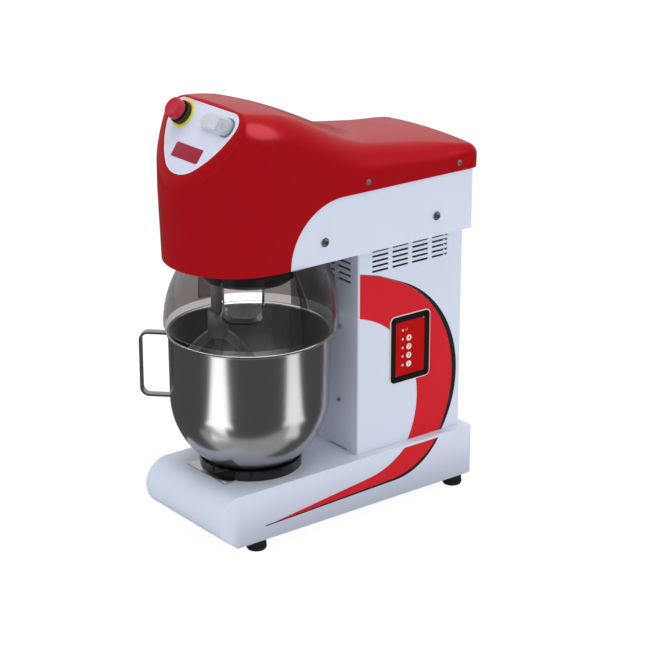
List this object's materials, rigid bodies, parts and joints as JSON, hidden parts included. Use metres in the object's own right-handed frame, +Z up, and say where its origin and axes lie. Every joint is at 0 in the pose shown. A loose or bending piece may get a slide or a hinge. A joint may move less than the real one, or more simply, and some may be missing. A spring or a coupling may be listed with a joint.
{
  "type": "planetary stand mixer",
  "caption": "Bench planetary mixer: round-nosed head on a column, lock-in bowl with strap handle, swinging clear guard with feed chute, flat beater.",
  "frame": {"origin": "middle of the outline on the floor plane under the feet", "axes": "+Z up, -Y towards the nose and the bowl, +X to the keypad side"},
  "size_m": [0.267, 0.4906, 0.6704],
  "materials": {
    "white_paint": "smooth white powder coat",
    "zinc_steel": "grey primed steel",
    "rubber": "matt black rubber",
    "bright_steel": "machined steel",
    "polished_steel": "polished stainless sheet",
    "black_plastic": "black moulding",
    "bowl_steel": "brushed stainless steel",
    "handle_steel": "stainless strap",
    "motor_paint": "grey motor paint",
    "cast_iron": "machined iron",
    "belt_rubber": "black belt",
    "red_gloss": "glossy deep red",
    "panel_white": "white panel",
    "yellow_plastic": "yellow ring",
    "stop_red": "red button",
    "switch_grey": "grey frame",
    "rocker": "dark rocker",
    "clear_cap": "clear soft cap",
    "keypad_black": "black frame",
    "keypad_red": "red foil",
    "key_white": "raised foil key",
    "board_green": "circuit board",
    "stripe_red": "red film",
    "stripe_black": "black film",
    "carrier_black": "black enamel",
    "cast_aluminium": "cast aluminium",
    "guard_clear": "smoky clear polycarbonate"
  },
  "bodies": {
    "frame": {"base_shell": "white_paint", "base_bottom_plate": "zinc_steel", "feet": "rubber", "foot_screws": "bright_steel", "seat_plate": "polished_steel", "bowl_seat_ring": "black_plastic", "seat_screws": "bright_steel", "column_shell": "white_paint", "column_rear_panel": "white_paint", "column_screws": "bright_steel", "column_post": "zinc_steel", "motor_housing": "motor_paint", "drive_belt": "belt_rubber", "main_bearings": "bright_steel", "bearing_housing": "cast_iron", "head_frame": "zinc_steel", "head_floor": "white_paint", "arm_shell": "white_paint", "arm_screws": "bright_steel", "head_cover": "red_gloss", "cover_screws": "bright_steel", "control_panel": "panel_white", "stop_collar": "black_plastic", "stop_ring": "yellow_plastic", "switch_frame": "switch_grey", "switch_cap": "clear_cap", "keypad_frame": "keypad_black", "keypad_field": "keypad_red", "control_board": "board_green", "stripe_red": "stripe_red", "stripe_black": "stripe_black", "ring_gear": "cast_iron", "guard_rail": "black_plastic", "rear_guard": "guard_clear", "cable_gland": "black_plastic"},
    "bowl": {"bowl": "bowl_steel", "bowl_handle": "handle_steel", "bowl_base_ring": "handle_steel"},
    "planet": {"main_shaft": "bright_steel", "drive_pulley": "cast_iron", "planet_carrier": "carrier_black", "planet_bearings": "bright_steel"},
    "tool": {"tool_shaft": "bright_steel", "tool_pin": "bright_steel", "planet_pinion": "cast_iron", "beater": "cast_aluminium"},
    "motor": {"motor_rotor": "bright_steel", "motor_pulley": "cast_iron"},
    "guard": {"front_guard": "guard_clear", "guard_slider": "black_plastic", "feed_chute": "guard_clear"},
    "stop_plunger": {"stop_stem": "black_plastic"},
    "stop_head": {"stop_button": "stop_red"},
    "rocker": {"switch_rocker": "rocker"},
    "key_1": {"speed_key_1": "key_white"},
    "key_2": {"speed_key_2": "key_white"},
    "key_3": {"speed_key_3": "key_white"},
    "key_4": {"speed_key_4": "key_white"}
  },
  "joints": [
    {"name": "bowl_turn", "type": "hinge", "parent": "frame", "child": "bowl", "pos_m": [0, -0.11175, 0.11], "axis": [0, 0, 1], "range_deg": [0, 30]},
    {"name": "planet_spin", "type": "hinge", "parent": "frame", "child": "planet", "pos_m": [0, -0.11175, 0.47], "axis": [0, 0, 1], "continuous": true},
    {"name": "tool_spin", "type": "hinge", "parent": "planet", "child": "tool", "pos_m": [-0.02832, -0.148, 0.42], "axis": [0, 0, 1], "continuous": true},
    {"name": "motor_spin", "type": "hinge", "parent": "frame", "child": "motor", "pos_m": [0, 0.12825, 0.47], "axis": [0, 0, 1], "continuous": true},
    {"name": "guard_swing", "type": "hinge", "parent": "frame", "child": "guard", "pos_m": [0, -0.11175, 0.43], "axis": [0, 0, 1], "range_deg": [-165, 0]},
    {"name": "stop_press", "type": "slide", "parent": "frame", "child": "stop_plunger", "axis": [0, 0.8192, -0.5736], "range_m": [0, 0.004]},
    {"name": "stop_twist", "type": "hinge", "parent": "stop_plunger", "child": "stop_head", "pos_m": [-0.047, -0.20177, 0.65488], "axis": [0, -0.8192, 0.5736], "range_deg": [0, 45], "stiffness_Nm_per_rad": 0.05},
    {"name": "rocker_tilt", "type": "hinge", "parent": "frame", "child": "rocker", "pos_m": [0.037, -0.18743, 0.64607], "axis": [0, 0.5736, 0.8192], "range_deg": [-16, 0]},
    {"name": "key_1_press", "type": "slide", "parent": "frame", "child": "key_1", "axis": [-1, 0, 0], "range_m": [0, 0.0005], "stiffness_N_per_m": 1200},
    {"name": "key_2_press", "type": "slide", "parent": "frame", "child": "key_2", "axis": [-1, 0, 0], "range_m": [0, 0.0005], "stiffness_N_per_m": 1200},
    {"name": "key_3_press", "type": "slide", "parent": "frame", "child": "key_3", "axis": [-1, 0, 0], "range_m": [0, 0.0005], "stiffness_N_per_m": 1200},
    {"name": "key_4_press", "type": "slide", "parent": "frame", "child": "key_4", "axis": [-1, 0, 0], "range_m": [0, 0.0005], "stiffness_N_per_m": 1200}
  ],
  "couplings": [
    {"joint": "tool_spin", "follows": "planet_spin", "ratio": -3.3},
    {"joint": "motor_spin", "follows": "planet_spin", "ratio": 3.125}
  ]
}
